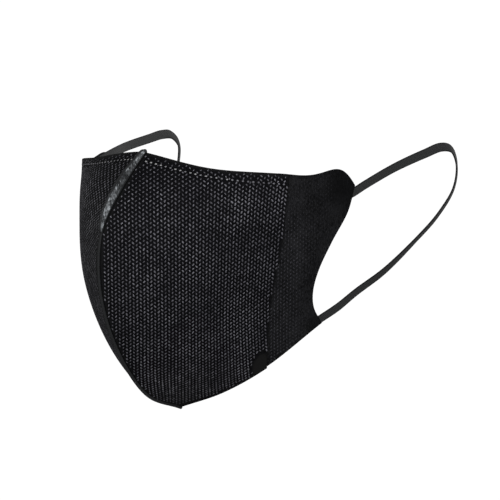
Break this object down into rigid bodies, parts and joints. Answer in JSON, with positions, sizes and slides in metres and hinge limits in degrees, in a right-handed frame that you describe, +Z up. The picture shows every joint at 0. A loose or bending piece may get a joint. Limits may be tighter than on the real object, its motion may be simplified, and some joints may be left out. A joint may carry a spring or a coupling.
{
  "type": "duckbill face mask",
  "caption": "Disposable vertical-fold duckbill face mask with a welded centre seam, a standing nose flange, soft ear wings and flat elastic ear loops, held as worn.",
  "frame": {"origin": "where the mask sits on the bridge of the nose: the top of the centre seam, in the mirror plane", "axes": "+Z up, -Y where the wearer looks, +X to the wearer's left"},
  "size_m": [0.1871, 0.2102, 0.1442],
  "materials": {
    "pressed_weld": "nonwoven pressed to a glossy cross-hatched strip",
    "dotted_nonwoven": "matt black nonwoven with staggered raised oval dots",
    "stretch_nonwoven": "soft black stretch nonwoven with faint dots",
    "elastic": "flat black knitted elastic"
  },
  "bodies": {
    "root": {"centre_seam": "pressed_weld", "panel_left": "dotted_nonwoven", "panel_right": "dotted_nonwoven", "wing_left": "stretch_nonwoven", "wing_right": "stretch_nonwoven", "ear_loop_left": "elastic", "ear_loop_right": "elastic"}
  },
  "joints": []
}
